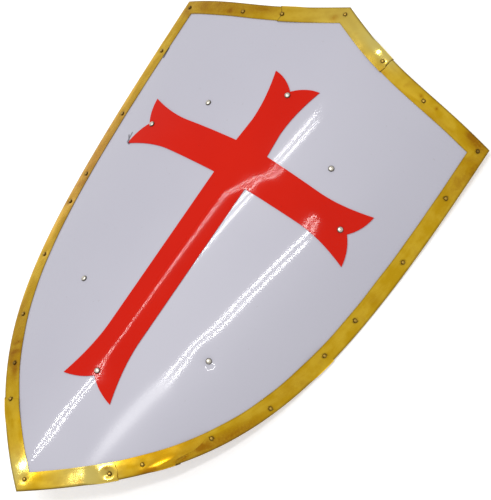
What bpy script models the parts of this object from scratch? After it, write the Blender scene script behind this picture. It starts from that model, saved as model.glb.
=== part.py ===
"""Knight's shield, lying face up: a bent steel plate with a riveted red cross, a brass rim and two straps.

Every sheet piece is laid out flat and then bent. In the flat layout s runs across the shield from its
spine, w runs up from the tip, and n is the height over the front face of the plate. Lengths are metres.
"""
import math

import bmesh
import bpy
from mathutils import Matrix, Vector

# Outline, measured over the brass rim
SHIELD_HEIGHT = 0.711
EAR_HALF_WIDTH = 0.2429
EAR_HEIGHT = 0.643
TIP_ANGLE = math.radians(36.1)      # rise of the side as it leaves the tip
TIP_PULL = 0.277                    # how far the side keeps that direction
EAR_PULL = 0.346                    # how far it comes down straight from the ear
EAR_TOP_ANGLE = math.radians(11.5)  # rise of the top as it leaves the ear
EAR_TOP_PULL = 0.125
PEAK_ANGLE = math.radians(26.2)     # fall of the top on each side of the peak
PEAK_PULL = 0.110

# Bend, tighter towards the tip
BEND_RADIUS_TIP = 0.337
BEND_RADIUS_PEAK = 0.587

# Sheets
PLATE_THICKNESS = 0.0012
CROSS_THICKNESS = 0.0008
BRASS_THICKNESS = 0.0006
SHEET_GAP = 0.0003                  # between any two pieces that bear on each other
BEND_COLUMNS = 9                    # flat facets across the bend, on each half
ROW_STEP = 0.055                    # height of one facet
EDGE_STEP = 0.036                   # length of one facet along the rim

# Cross
CROSS_HEIGHT = 0.469                # centre of the crossing above the tip
CROSS_OFFSET = -0.0019              # it sits a little off the spine
BAR_WIDTH = 0.0478                  # at the crossing
SIDE_ARM = 0.1742                   # from the crossing's centre to the arm's two points
SIDE_SPREAD = 0.0706                # between those points
SIDE_WAIST = 0.0450                 # narrowest width
SIDE_FLARE = 0.070                  # length over which the arm widens again
SIDE_NOTCH = 0.0156
SIDE_DROOP = 0.0065                 # the ends of the side arms hang this much low
TOP_ARM, TOP_SPREAD, TOP_WAIST, TOP_FLARE, TOP_NOTCH = 0.1259, 0.0672, 0.0430, 0.070, 0.0165
FOOT_ARM, FOOT_SPREAD, FOOT_WAIST, FOOT_FLARE, FOOT_NOTCH = 0.3250, 0.0752, 0.0476, 0.080, 0.0172
LOBE_BULGE = 0.003                  # roundness of the two lobes at each arm's end
FLARE_CURVE = 0.4                   # share of the widening where the arm's edge starts to turn outward
CURVE_STEPS = 4

# Brass rim: folded strips whose ends lap
RIM_WIDTH = 0.0215
PEAK_RIM_WIDTH = 0.0226
RIM_BACK_WIDTH = 0.0165
FOLD_RADIUS = 0.0006
LAP = 0.018
LAP_RAMP = 0.006
LAP_SHORT = 0.001                   # the lower end stops this far before the ramp
PEAK_STRIP_SHARE = 0.3658           # reach of the strips over the peak and the tip, as shares of the way
TIP_STRIP_SHARE = 0.1679            # from there to the ears
FOOT_SEAM_SHARE = 0.272             # seams on the right side, as shares of the way from tip to ear
FOOT_SEAM_SKEW = 0.042              # that end is cut on the slant
LOW_SEAM_SHARE = 0.570

# Brass rim rivets, set by hand: shares of the way along from tip to ear, or from ear to peak,
# and shares of the rim's width in from its edge
RIGHT_RIVET_SHARES = ((0.158, 0.40), (0.213, 0.52), (0.333, 0.59), (0.441, 0.33),
                (0.564, 0.54), (0.641, 0.57), (0.765, 0.47), (0.892, 0.56))
LEFT_RIVET_SHARES = ((0.159, 0.44), (0.226, 0.60), (0.323, 0.55), (0.446, 0.53),
               (0.558, 0.52), (0.617, 0.61), (0.749, 0.62), (0.889, 0.54))
RIGHT_TOP_RIVET_SHARES = ((0.385, 0.53), (0.660, 0.50))
LEFT_TOP_RIVET_SHARES = ((0.427, 0.62), (0.656, 0.56))
TIP_RIVET_SHARE, EAR_RIVET_SHARE, PEAK_RIVET_SHARE = 0.64, 0.53, 0.50
RIM_HEAD_RADIUS, RIM_HEAD_HEIGHT = 0.0025, 0.0015
RIM_SHANK_RADIUS = 0.0010
RIM_TAIL_RADIUS, RIM_TAIL_HEIGHT = 0.0018, 0.0007

# Steel rivets
HEAD_RADIUS, HEAD_HEIGHT = 0.0037, 0.0024
SHANK_RADIUS = 0.0016
TAIL_RADIUS, TAIL_HEIGHT = 0.0028, 0.0010
RIGHT_RIVET_BACK = 0.0097           # from the notch to the rivet, on each arm
LEFT_RIVET_BACK = 0.0053
TOP_RIVET_BACK = 0.0058
FOOT_RIVET_BACK = 0.0062
HOLE_CLEARANCE = 0.0003
DRILL_REACH = 0.010                 # deeper than all the sheets together

# Straps on the back, between the four field rivets
STRAP_RIVETS = {                    # measured from the cross's centre
    "left": {"top": (-0.0921, 0.0508), "bottom": (-0.0954, -0.2191)},
    "right": {"top": (0.0993, 0.0513), "bottom": (0.1064, -0.2196)},
}
STRAP_WIDTH = 0.025
STRAP_THICKNESS = 0.003
STRAP_SEAT = 0.0005                 # keeps the strap's edges off the hollow side of the plate
STRAP_RISE = 0.038                  # clear height under the middle of a strap
STRAP_TAB = 0.014                   # from a rivet to the end of the strap
STRAP_FLAT_TAB = 0.012              # from a rivet to where the strap leaves the plate
STRAP_RAMP = 0.070
STRAP_RAMP_STEPS = 6
WASHER_RADIUS = 0.0055
WASHER_THICKNESS = 0.0010


def bend_radius(height):
    share = height / SHIELD_HEIGHT
    return 1 / ((1 - share) / BEND_RADIUS_TIP + share / BEND_RADIUS_PEAK)


def bent(s, w, n):
    """Place of a point of the flat layout on the bent shield."""
    radius = bend_radius(w)
    angle = s / radius
    return Vector(((radius + n) * math.sin(angle), w, (radius + n) * math.cos(angle) - radius))


def surface_frame(s, w):
    """Frame on the plate's front face, with Z standing off it."""
    return Matrix.Translation(bent(s, w, 0)) @ Matrix.Rotation(s / bend_radius(w), 4, "Y")


def curve(start, start_handle, end_handle, end, steps):
    """Points of a cubic curve, without its last one."""
    points = []
    for step in range(steps):
        t = step / steps
        points.append((1 - t) ** 3 * start + 3 * (1 - t) ** 2 * t * start_handle
                      + 3 * (1 - t) * t ** 2 * end_handle + t ** 3 * end)
    return points


def heading(angle):
    return Vector((math.cos(angle), math.sin(angle)))


class Edge:
    """The shield's outline. Distances run from the tip, positive up the right side."""

    def __init__(self):
        tip = Vector((0, 0))
        ear = Vector((EAR_HALF_WIDTH, EAR_HEIGHT))
        peak = Vector((0, SHIELD_HEIGHT))
        side_steps = round((ear - tip).length / EDGE_STEP)
        top_steps = round((peak - ear).length / EDGE_STEP)
        right = curve(tip, tip + TIP_PULL * heading(TIP_ANGLE), ear - EAR_PULL * Vector((0, 1)), ear, side_steps)
        right += curve(ear, ear + EAR_TOP_PULL * heading(math.pi - EAR_TOP_ANGLE),
                       peak + PEAK_PULL * heading(-PEAK_ANGLE), peak, top_steps)
        left = [Vector((-point.x, point.y)) for point in reversed(right[1:])]
        self.points = right + [peak] + left
        self.inward = [self.mitre(index) for index in range(len(self.points))]
        self.marks = [0.0]
        for here, there in zip(self.points, self.points[1:]):
            self.marks.append(self.marks[-1] + (there - here).length)
        self.ear = self.marks[side_steps]
        self.peak = self.marks[side_steps + top_steps]
        self.corners = (0.0, self.ear, self.peak, -self.ear, -self.peak)

    def mitre(self, index):
        """Inward step at a corner point that moves both of its edges in by one unit."""
        before = (self.points[index] - self.points[index - 1]).normalized()
        after = (self.points[(index + 1) % len(self.points)] - self.points[index]).normalized()
        inward = Vector((-before.y - after.y, before.x + after.x))
        return inward / (1 + before.dot(after))

    def at(self, distance, inset=0.0):
        """Point this far along the outline and this far in from it."""
        along = distance % (2 * self.peak)
        marks = self.marks + [2 * self.peak]
        index = max(i for i, mark in enumerate(self.marks) if mark <= along)
        share = (along - marks[index]) / (marks[index + 1] - marks[index])
        following = (index + 1) % len(self.points)
        point = self.points[index].lerp(self.points[following], share)
        return point + inset * self.inward[index].lerp(self.inward[following], share)

    def marks_between(self, start, end):
        turns = [mark + turn * 2 * self.peak for turn in (-1, 0, 1) for mark in self.marks]
        return [mark for mark in sorted(turns) if start < mark < end]

    def is_corner(self, distance):
        return any(abs((distance - corner + self.peak) % (2 * self.peak) - self.peak) < SHEET_GAP
                   for corner in self.corners)


EDGE = Edge()


def make_material(name, colour, roughness, metallic):
    material = bpy.data.materials.new(name)
    material.use_nodes = True
    shader = material.node_tree.nodes["Principled BSDF"]
    shader.inputs["Base Color"].default_value = (*colour, 1)
    shader.inputs["Roughness"].default_value = roughness
    shader.inputs["Metallic"].default_value = metallic
    material.diffuse_color = (*colour, 1)
    return material


def mesh_from(bm, name):
    """Finished mesh of triangles, with its faces pointing out."""
    bmesh.ops.triangulate(bm, faces=bm.faces)
    bmesh.ops.recalc_face_normals(bm, faces=bm.faces)
    mesh = bpy.data.meshes.new(name)
    bm.to_mesh(mesh)
    bm.free()
    return mesh


def add_object(name, mesh, material, parent, frame=Matrix.Identity(4)):
    shape = bpy.data.objects.new(name, mesh)
    if not mesh.materials:
        mesh.materials.append(material)
    bpy.context.scene.collection.objects.link(shape)
    shape.parent = parent
    shape.location = frame.to_translation()
    shape.rotation_euler = frame.to_euler()
    return shape


def lathe(profile, sides):
    """Solid turned about Z from (radius, height) points. A radius of 0 is a pole."""
    bm = bmesh.new()
    rings = []
    for radius, height in profile:
        count = sides if radius else 1
        turns = [2 * math.pi * index / sides for index in range(count)]
        rings.append([bm.verts.new((radius * math.cos(a), radius * math.sin(a), height)) for a in turns])
    for upper, lower in zip(rings, rings[1:]):
        for index in range(sides):
            corners = [upper[index % len(upper)], lower[index % len(lower)],
                       lower[(index + 1) % len(lower)], upper[(index + 1) % len(upper)]]
            bm.faces.new(list(dict.fromkeys(corners)))
    return bm


def split_at_bends(bm, rows):
    """Cut the flat layout along the lines where its facets meet once it is bent."""
    step = EAR_HALF_WIDTH / BEND_COLUMNS
    cuts = [((column * step, 0, 0), (1, 0, 0)) for column in range(1 - BEND_COLUMNS, BEND_COLUMNS)]
    if rows:
        cuts += [((0, row * ROW_STEP, 0), (0, 1, 0)) for row in range(1, int(SHIELD_HEIGHT / ROW_STEP) + 1)]
    for place, normal in cuts:
        geometry = bm.verts[:] + bm.edges[:] + bm.faces[:]
        bmesh.ops.bisect_plane(bm, geom=geometry, plane_co=place, plane_no=normal, dist=1e-6)


def flat_sheet(outline, low, high):
    """Flat solid with this outline between two heights, split into facets."""
    bm = bmesh.new()
    bm.faces.new([bm.verts.new((point.x, point.y, low)) for point in outline])
    split_at_bends(bm, rows=True)
    raised = bmesh.ops.extrude_face_region(bm, geom=bm.faces[:])["geom"]
    corners = [item for item in raised if isinstance(item, bmesh.types.BMVert)]
    bmesh.ops.translate(bm, verts=corners, vec=(0, 0, high - low))
    bmesh.ops.recalc_face_normals(bm, faces=bm.faces)
    return bm


def pierce(bm, holes):
    """Drill a round hole through the solid along Z of each frame."""
    body = bpy.data.meshes.new("body")
    bm.to_mesh(body)
    bm.clear()
    drills = bmesh.new()
    for frame, radius, sides, depth in holes:
        bmesh.ops.create_cone(drills, cap_ends=True, segments=sides, radius1=radius, radius2=radius,
                              depth=2 * depth, matrix=frame)
    drill_mesh = bpy.data.meshes.new("drills")
    drills.to_mesh(drill_mesh)
    drills.free()
    blank = bpy.data.objects.new("blank", body)
    cutter = bpy.data.objects.new("cutter", drill_mesh)
    bpy.context.scene.collection.objects.link(blank)
    bpy.context.scene.collection.objects.link(cutter)
    cut = blank.modifiers.new("holes", "BOOLEAN")
    cut.operation = "DIFFERENCE"
    cut.object = cutter
    drilled = bpy.data.meshes.new_from_object(blank.evaluated_get(bpy.context.evaluated_depsgraph_get()))
    bm.from_mesh(drilled)
    for mesh, shape in ((body, blank), (drill_mesh, cutter)):
        bpy.data.objects.remove(shape)
        bpy.data.meshes.remove(mesh)
    bpy.data.meshes.remove(drilled)


def bend(bm):
    bmesh.ops.triangulate(bm, faces=bm.faces)
    for vert in bm.verts:
        vert.co = bent(*vert.co)


def arm(length, spread, waist, flare, notch):
    """One arm of the cross along +X, from its right crossing corner round to its left one."""
    widening = (spread - waist) / 2
    narrow = Vector((length - flare, -waist / 2))
    level = narrow + Vector((flare / 3, 0))
    hollow = narrow + Vector((flare * 2 / 3, -FLARE_CURVE * widening))
    tip = narrow + Vector((flare, -widening))
    bottom = Vector((length - notch, 0))
    outward = Vector((bottom.y - tip.y, tip.x - bottom.x)).normalized()
    swell = (tip + bottom) / 2 + outward * LOBE_BULGE * 2
    right = curve(narrow, level, hollow, tip, CURVE_STEPS)
    right += curve(tip, tip.lerp(swell, 2 / 3), bottom.lerp(swell, 2 / 3), bottom, CURVE_STEPS)
    left = [Vector((point.x, -point.y)) for point in reversed(right)]
    return [Vector((BAR_WIDTH, -BAR_WIDTH)) / 2] + right + [bottom] + left


def droop(point):
    """Let the side arms hang towards their ends, measured from the crossing."""
    reach = max(abs(point.x) - BAR_WIDTH / 2, 0) / (SIDE_ARM - BAR_WIDTH / 2)
    return Vector((point.x, point.y - SIDE_DROOP * reach))


SIDE = (SIDE_ARM, SIDE_SPREAD, SIDE_WAIST, SIDE_FLARE, SIDE_NOTCH)
TOP = (TOP_ARM, TOP_SPREAD, TOP_WAIST, TOP_FLARE, TOP_NOTCH)
FOOT = (FOOT_ARM, FOOT_SPREAD, FOOT_WAIST, FOOT_FLARE, FOOT_NOTCH)
ARMS = {
    "right": (0, SIDE, RIGHT_RIVET_BACK),
    "top": (90, TOP, TOP_RIVET_BACK),
    "left": (180, SIDE, LEFT_RIVET_BACK),
    "foot": (270, FOOT, FOOT_RIVET_BACK),
}


def on_cross(point, turn):
    """Place in the flat layout of a point of an arm that is turned this many degrees."""
    turned = Matrix.Rotation(math.radians(turn), 2) @ point
    return droop(turned) + Vector((CROSS_OFFSET, CROSS_HEIGHT))


def cross_outline():
    outline = []
    for turn, sizes, _ in ARMS.values():
        outline += [on_cross(point, turn) for point in arm(*sizes)]
    return outline


def cross_rivet_places():
    places = {}
    for name, (turn, (length, _, _, _, notch), back) in ARMS.items():
        places[name] = on_cross(Vector((length - notch - back, 0)), turn)
    return places


def strap_rivet_places():
    centre = Vector((CROSS_OFFSET, CROSS_HEIGHT))
    return {side: {end: Vector(place) + centre for end, place in ends.items()}
            for side, ends in STRAP_RIVETS.items()}


def drill(place, radius, sides):
    return Matrix.Translation((place.x, place.y, 0)), radius + HOLE_CLEARANCE, sides, DRILL_REACH


def rim_rivet_places():
    """Distance along the rim and place of each brass rivet, up the right side, then up the left."""
    marks = [(0.0, TIP_RIVET_SHARE), (EDGE.peak, PEAK_RIVET_SHARE)]
    for side, lower, upper in ((1, RIGHT_RIVET_SHARES, RIGHT_TOP_RIVET_SHARES),
                               (-1, LEFT_RIVET_SHARES, LEFT_TOP_RIVET_SHARES)):
        marks += [(side * along * EDGE.ear, across) for along, across in lower]
        marks.append((side * EDGE.ear, EAR_RIVET_SHARE))
        marks += [(side * (EDGE.ear + along * (EDGE.peak - EDGE.ear)), across) for along, across in upper]
    return [(distance, EDGE.at(distance, across * RIM_WIDTH)) for distance, across in marks]


RIM_SIDES = 6
STEEL_SIDES = 8
LAP_LIFT = BRASS_THICKNESS + SHEET_GAP
RIM_FRONT = SHEET_GAP + BRASS_THICKNESS
RIM_BACK = PLATE_THICKNESS + SHEET_GAP + BRASS_THICKNESS


def rim_strips():
    """Start, end, width and upper ends of each strip, as distances along the rim."""
    foot_seam = FOOT_SEAM_SHARE * EDGE.ear
    low_seam = LOW_SEAM_SHARE * EDGE.ear
    under = LAP - LAP_SHORT
    tip_end = TIP_STRIP_SHARE * EDGE.ear
    peak_reach = PEAK_STRIP_SHARE * (EDGE.peak - EDGE.ear)
    peak_end = EDGE.peak - peak_reach
    over, below = True, False
    return {
        "rim_peak": (peak_end, EDGE.peak + peak_reach, PEAK_RIM_WIDTH, over, over, 0),
        "rim_tip": (-tip_end, tip_end, RIM_WIDTH, over, over, 0),
        "rim_right_foot": (tip_end - under, foot_seam, RIM_WIDTH, below, over, FOOT_SEAM_SKEW),
        "rim_right_low": (foot_seam - under, low_seam, RIM_WIDTH, below, over, 0),
        "rim_right": (low_seam - under, peak_end + under, RIM_WIDTH, below, below, 0),
        "rim_left": (-peak_end - under, -tip_end + under, RIM_WIDTH, below, below, 0),
    }


def strip_lift(distance, start, end, start_over, end_over):
    """How far the strip stands off to pass over its neighbour here."""
    lift = 0.0
    for is_over, gone in ((start_over, distance - start), (end_over, end - distance)):
        if is_over:
            lift = max(lift, min(1.0, (LAP + LAP_RAMP - gone) / LAP_RAMP))
    return lift * LAP_LIFT


def strip_profile(width, lift):
    """Section of the folded strip: (inset, height) points, front edge round to back edge."""
    front, back = RIM_FRONT + lift, -RIM_BACK - lift
    return [
        (width, front), (FOLD_RADIUS - lift, front), (-lift, front - FOLD_RADIUS),
        (-lift, back), (RIM_BACK_WIDTH, back), (RIM_BACK_WIDTH, back + BRASS_THICKNESS),
        (BRASS_THICKNESS - lift, back + BRASS_THICKNESS),
        (BRASS_THICKNESS - lift, front - BRASS_THICKNESS), (width, front - BRASS_THICKNESS),
    ]


def strip_stations(start, end, start_over, end_over):
    """Distances of the strip's sections: its ends, its ramps, and the outline's own points."""
    fixed = [start, end]
    if start_over:
        fixed += [start + LAP, start + LAP + LAP_RAMP]
    if end_over:
        fixed += [end - LAP, end - LAP - LAP_RAMP]
    fixed += [mark for mark in EDGE.marks_between(start, end) if EDGE.is_corner(mark)]
    free = [mark for mark in EDGE.marks_between(start, end)
            if all(abs(mark - stop) > EDGE_STEP / 5 for stop in fixed)]
    return sorted(fixed + free)


def rim_strip(start, end, width, start_over, end_over, skew):
    bm = bmesh.new()
    sections = []
    for distance in strip_stations(start, end, start_over, end_over):
        lift = strip_lift(distance, start, end, start_over, end_over)
        section = []
        for inset, height in strip_profile(width, lift):
            slant = skew * inset / width if distance == end and height > 0 and inset > 0 else 0
            point = EDGE.at(distance + slant, inset)
            section.append(bm.verts.new((point.x, point.y, height)))
        sections.append(section)
    count = len(sections[0])
    for here, there in zip(sections, sections[1:]):
        for index in range(count):
            following = (index + 1) % count
            bm.faces.new((here[index], here[following], there[following], there[index]))
    bm.faces.new(sections[0])
    bm.faces.new(reversed(sections[-1]))
    bmesh.ops.recalc_face_normals(bm, faces=bm.faces)
    return bm


def lift_at_rivet(distance):
    """Lift of the uppermost strip at a rim rivet."""
    lift = 0.0
    for start, end, _, start_over, end_over, _ in rim_strips().values():
        for turn in (-1, 0, 1):
            here = distance + turn * 2 * EDGE.peak
            if start < here < end:
                lift = max(lift, strip_lift(here, start, end, start_over, end_over))
    return lift


def rivet(head_radius, head_height, shank_radius, tail_radius, tail_height, top, bottom, sides):
    """Domed head over the height top, shank, and a hammered tail under the height bottom."""
    slant = math.sqrt(0.5)
    head = [(0, top + head_height), (head_radius * slant, top + head_height * slant), (head_radius, top)]
    tail = [(tail_radius, bottom), (0, bottom - tail_height)]
    return lathe(head + [(shank_radius, top), (shank_radius, bottom)] + tail, sides)


def washer(top):
    bore = SHANK_RADIUS + HOLE_CLEARANCE
    bottom = top - WASHER_THICKNESS
    return lathe([(bore, top), (bore, bottom), (WASHER_RADIUS, bottom), (WASHER_RADIUS, top), (bore, top)],
                 STEEL_SIDES)


def strap_path(span):
    """Middle line of the strap's upper face, as (distance from the lower rivet, drop) points."""
    leave = STRAP_FLAT_TAB
    points = [(-STRAP_TAB, 0.0)]
    for step in range(STRAP_RAMP_STEPS + 1):
        t = step / STRAP_RAMP_STEPS
        points.append((leave + STRAP_RAMP * t, STRAP_RISE * (1 - math.cos(math.pi * t)) / 2))
    return points + [(span - along, drop) for along, drop in reversed(points)]


def strap(top_place, bottom_place):
    """Leather strap that leaves the plate between its two rivets. Its middle is flat."""
    top, bottom = surface_frame(*top_place), surface_frame(*bottom_place)
    span = (top.to_translation() - bottom.to_translation()).length
    upward = (top.to_translation() - bottom.to_translation()).normalized()
    top_turn, bottom_turn = top.to_euler().y, bottom.to_euler().y
    path = strap_path(span)
    bm = bmesh.new()
    sections = []
    for index, (along, drop) in enumerate(path):
        share = drop / STRAP_RISE / 2
        turn = bottom_turn + (top_turn - bottom_turn) * (share if along < span / 2 else 1 - share)
        across = Vector((math.cos(turn), 0, -math.sin(turn)))
        outward = Vector((math.sin(turn), 0, math.cos(turn)))
        before, after = path[max(index - 1, 0)], path[min(index + 1, len(path) - 1)]
        slope = Vector((after[0] - before[0], -(after[1] - before[1]))).normalized()
        upper = (bottom.to_translation() + upward * along
                 - outward * (PLATE_THICKNESS + STRAP_SEAT + drop))
        lower = upper + STRAP_THICKNESS * (upward * slope.y - outward * slope.x)
        half = across * STRAP_WIDTH / 2
        sections.append([bm.verts.new(point) for point in (upper - half, upper + half, lower + half, lower - half)])
    for here, there in zip(sections, sections[1:]):
        for index in range(4):
            following = (index + 1) % 4
            bm.faces.new((here[index], here[following], there[following], there[index]))
    bm.faces.new(sections[0])
    bm.faces.new(reversed(sections[-1]))
    bmesh.ops.recalc_face_normals(bm, faces=bm.faces)
    reach = STRAP_RISE / 2
    pierce(bm, [(frame, SHANK_RADIUS + HOLE_CLEARANCE, STEEL_SIDES, reach) for frame in (top, bottom)])
    return bm


def build_sheets(root, materials):
    rim_holes = [drill(place, RIM_SHANK_RADIUS, RIM_SIDES) for _, place in rim_rivet_places()]
    cross_holes = [drill(place, SHANK_RADIUS, STEEL_SIDES) for place in cross_rivet_places().values()]
    strap_holes = [drill(place, SHANK_RADIUS, STEEL_SIDES)
                   for ends in strap_rivet_places().values() for place in ends.values()]
    plate_outline = [EDGE.at(mark, BRASS_THICKNESS + SHEET_GAP) for mark in EDGE.marks]
    plate = flat_sheet(plate_outline, -PLATE_THICKNESS, 0)
    pierce(plate, rim_holes + cross_holes + strap_holes)
    bend(plate)
    add_object("plate", mesh_from(plate, "plate"), materials["white_enamel"], root)

    cross = flat_sheet(cross_outline(), SHEET_GAP, SHEET_GAP + CROSS_THICKNESS)
    pierce(cross, cross_holes)
    bend(cross)
    add_object("cross", mesh_from(cross, "cross"), materials["red_enamel"], root)

    for name, strip in rim_strips().items():
        shape = rim_strip(*strip)
        split_at_bends(shape, rows=False)
        pierce(shape, rim_holes)
        bend(shape)
        add_object(name, mesh_from(shape, name), materials["brass"], root)


def build_rim_rivets(root, materials):
    meshes = {}
    for number, (distance, place) in enumerate(rim_rivet_places(), start=1):
        lift = lift_at_rivet(distance)
        if lift not in meshes:
            shape = rivet(RIM_HEAD_RADIUS, RIM_HEAD_HEIGHT, RIM_SHANK_RADIUS, RIM_TAIL_RADIUS, RIM_TAIL_HEIGHT,
                          RIM_FRONT + lift + SHEET_GAP, -RIM_BACK - lift - SHEET_GAP, RIM_SIDES)
            meshes[lift] = mesh_from(shape, "rim_rivet")
        add_object(f"rim_rivet_{number:02d}", meshes[lift], materials["brass"], root, surface_frame(*place))


def build_steel_rivets(root, materials):
    sizes = HEAD_RADIUS, HEAD_HEIGHT, SHANK_RADIUS, TAIL_RADIUS, TAIL_HEIGHT
    over_cross = CROSS_THICKNESS + 2 * SHEET_GAP
    cross_mesh = mesh_from(rivet(*sizes, over_cross, -PLATE_THICKNESS - SHEET_GAP, STEEL_SIDES), "cross_rivet")
    for name, place in cross_rivet_places().items():
        add_object(f"cross_rivet_{name}", cross_mesh, materials["steel"], root, surface_frame(*place))

    washer_top = -PLATE_THICKNESS - STRAP_SEAT - STRAP_THICKNESS - SHEET_GAP
    tail_top = washer_top - WASHER_THICKNESS - SHEET_GAP
    strap_mesh = mesh_from(rivet(*sizes, SHEET_GAP, tail_top, STEEL_SIDES), "strap_rivet")
    washer_mesh = mesh_from(washer(washer_top), "strap_washer")
    for side, ends in strap_rivet_places().items():
        for end, place in ends.items():
            frame = surface_frame(*place)
            add_object(f"strap_rivet_{side}_{end}", strap_mesh, materials["steel"], root, frame)
            add_object(f"strap_washer_{side}_{end}", washer_mesh, materials["steel"], root, frame)


def build_straps(root, materials):
    for side, ends in strap_rivet_places().items():
        shape = strap(ends["top"], ends["bottom"])
        name = f"strap_{side}"
        add_object(name, mesh_from(shape, name), materials["leather"], root)


def centre_of_volume(shapes):
    total, centre = 0.0, Vector((0, 0, 0))
    for shape in shapes:
        points = [shape.matrix_basis @ vert.co for vert in shape.data.vertices]
        for face in shape.data.polygons:
            a, b, c = (points[index] for index in face.vertices)
            volume = a.dot(b.cross(c)) / 6
            total += volume
            centre += volume * (a + b + c) / 4
    return centre / total


def resting_tilt(points, centre_height):
    """Slope of the two lowest edges under the centre, on which the shield lies."""
    hull = []
    for point in sorted((point.y, point.z) for point in points):
        while len(hull) > 1:
            (y0, z0), (y1, z1) = hull[-2:]
            if (y1 - y0) * (point[1] - z0) > (z1 - z0) * (point[0] - y0):
                break
            hull.pop()
        hull.append(point)
    for (y0, z0), (y1, z1) in zip(hull, hull[1:]):
        if y0 <= centre_height <= y1:
            return math.atan2(z1 - z0, y1 - y0)
    raise ValueError("the shield's centre is not over its edge")


def lay_down(root):
    """Turn the shield to lie on its side edges, centred over the origin."""
    shapes = list(root.children)
    points = [shape.matrix_basis @ vert.co for shape in shapes for vert in shape.data.vertices]
    tilt = resting_tilt(points, centre_of_volume(shapes).y)
    turn = Matrix.Rotation(-tilt, 3, "X")
    turned = [turn @ point for point in points]
    low = [min(point[axis] for point in turned) for axis in range(3)]
    high = [max(point[axis] for point in turned) for axis in range(3)]
    root.rotation_euler = (-tilt, 0, 0)
    root.location = (-(low[0] + high[0]) / 2, -(low[1] + high[1]) / 2, -low[2])


def main():
    for leftover in list(bpy.data.objects):
        bpy.data.objects.remove(leftover)
    materials = {
        "white_enamel": make_material("white_enamel", (0.60, 0.58, 0.66), 0.22, 0.0),
        "red_enamel": make_material("red_enamel", (0.72, 0.017, 0.006), 0.22, 0.0),
        "brass": make_material("brass", (0.62, 0.40, 0.06), 0.30, 1.0),
        "steel": make_material("steel", (0.55, 0.53, 0.48), 0.30, 1.0),
        "leather": make_material("leather", (0.16, 0.07, 0.03), 0.60, 0.0),
    }
    root = bpy.data.objects.new("shield", None)
    bpy.context.scene.collection.objects.link(root)
    build_sheets(root, materials)
    build_rim_rivets(root, materials)
    build_steel_rivets(root, materials)
    build_straps(root, materials)
    bpy.context.view_layer.update()
    lay_down(root)


main()
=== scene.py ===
# %% [markdown]
# A knight's shield, dressed for its portrait
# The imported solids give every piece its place. This lesson builds finer pieces over them: a bent
# enamelled plate, a red cross riveted to it, a folded brass rim in six lapped strips, the rivets,
# and two leather straps on the back.

# %% Load the solids
import bisect
import math

import bmesh
import bpy
from mathutils import Matrix, Vector, noise


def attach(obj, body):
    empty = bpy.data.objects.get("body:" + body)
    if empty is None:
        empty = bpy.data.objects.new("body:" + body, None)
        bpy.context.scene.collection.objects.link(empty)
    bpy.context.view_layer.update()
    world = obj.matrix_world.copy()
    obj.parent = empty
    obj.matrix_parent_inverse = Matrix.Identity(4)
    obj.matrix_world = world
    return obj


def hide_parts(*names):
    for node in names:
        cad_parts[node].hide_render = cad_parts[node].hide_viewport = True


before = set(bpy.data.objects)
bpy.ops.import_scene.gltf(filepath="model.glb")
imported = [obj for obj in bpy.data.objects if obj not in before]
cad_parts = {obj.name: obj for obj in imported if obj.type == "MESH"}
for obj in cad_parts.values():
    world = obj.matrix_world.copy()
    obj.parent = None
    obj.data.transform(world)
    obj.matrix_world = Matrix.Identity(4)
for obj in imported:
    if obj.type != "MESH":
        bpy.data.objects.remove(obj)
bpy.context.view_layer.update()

# %% [markdown]
# The sheets are drawn flat and then bent, as in a workshop. In the flat drawing s runs across the
# shield from its spine, w runs up from the tip, and n stands off the front of the plate. The real
# plate is bent tighter near the tip, so the radius depends on w.

# %% The bend
SHIELD_HEIGHT = 0.711
BEND_RADIUS_TIP = 0.337
BEND_RADIUS_PEAK = 0.587
RESTING_SHIFT = Vector((0, -0.355497, 0.059414))     # as packed: centred, its long edges on the floor
RESTING_TURN = math.radians(0.43352)                 # the peak lies a little higher than the tip
RESTING_PLACE = Matrix.Translation(RESTING_SHIFT) @ Matrix.Rotation(RESTING_TURN, 4, "X")


def bend_radius(height):
    share = height / SHIELD_HEIGHT
    return 1 / ((1 - share) / BEND_RADIUS_TIP + share / BEND_RADIUS_PEAK)


def bent(s, w, n):
    radius = bend_radius(w)
    angle = s / radius
    return Vector(((radius + n) * math.sin(angle), w, (radius + n) * math.cos(angle) - radius))


# %% [markdown]
# Hand-beaten sheet is never quite even. Two slow waves and a few shallow dents bend the reflections
# the way they wander on the real plate. A rivet pulls a small dimple into the sheet round itself.

# %% Waves and dents in the sheet
WAVES = ((0.16, 0.00022), (0.065, 0.00006))     # length and height of each wave
FIELD_RIVETS = {
    "left_top": (-0.0940, 0.5198), "left_bottom": (-0.0973, 0.2499),
    "right_top": (0.0974, 0.5203), "right_bottom": (0.1045, 0.2494),
}
RIVET_DIMPLE = (0.009, 0.00010)                 # radius and depth
RING_DENT = (0.1062, 0.2480, 0.0056, 0.00095)   # across, up, radius, depth
DENTS = [
    RING_DENT, (0.100, 0.2470, 0.020, 0.00032), (0.067, 0.205, 0.020, 0.00018),
    (-0.041, 0.677, 0.008, 0.0003), (-0.004, 0.090, 0.036, 0.00060),
]
DENTS += [(*place, *RIVET_DIMPLE) for place in FIELD_RIVETS.values()]
FADED = 9                                       # a mark is left out past three times its reach


def fade(nearness):
    """Strength of a mark at this distance, squared and counted in its own reach."""
    return math.exp(-nearness) if nearness < FADED else 0.0


def unevenness(s, w):
    total = sum(height * noise.noise(Vector((s, w, length)) / length) for length, height in WAVES)
    for across, up, radius, depth in DENTS:
        total -= depth * fade(((s - across) ** 2 + (w - up) ** 2) / radius ** 2)
    return total


def formed(s, w, n):
    return bent(s, w, n + unevenness(s, w))


def surface_frame(s, w):
    """Frame on the front of the plate, with Z standing off it."""
    return Matrix.Translation(formed(s, w, 0)) @ Matrix.Rotation(s / bend_radius(w), 4, "Y")


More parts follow.
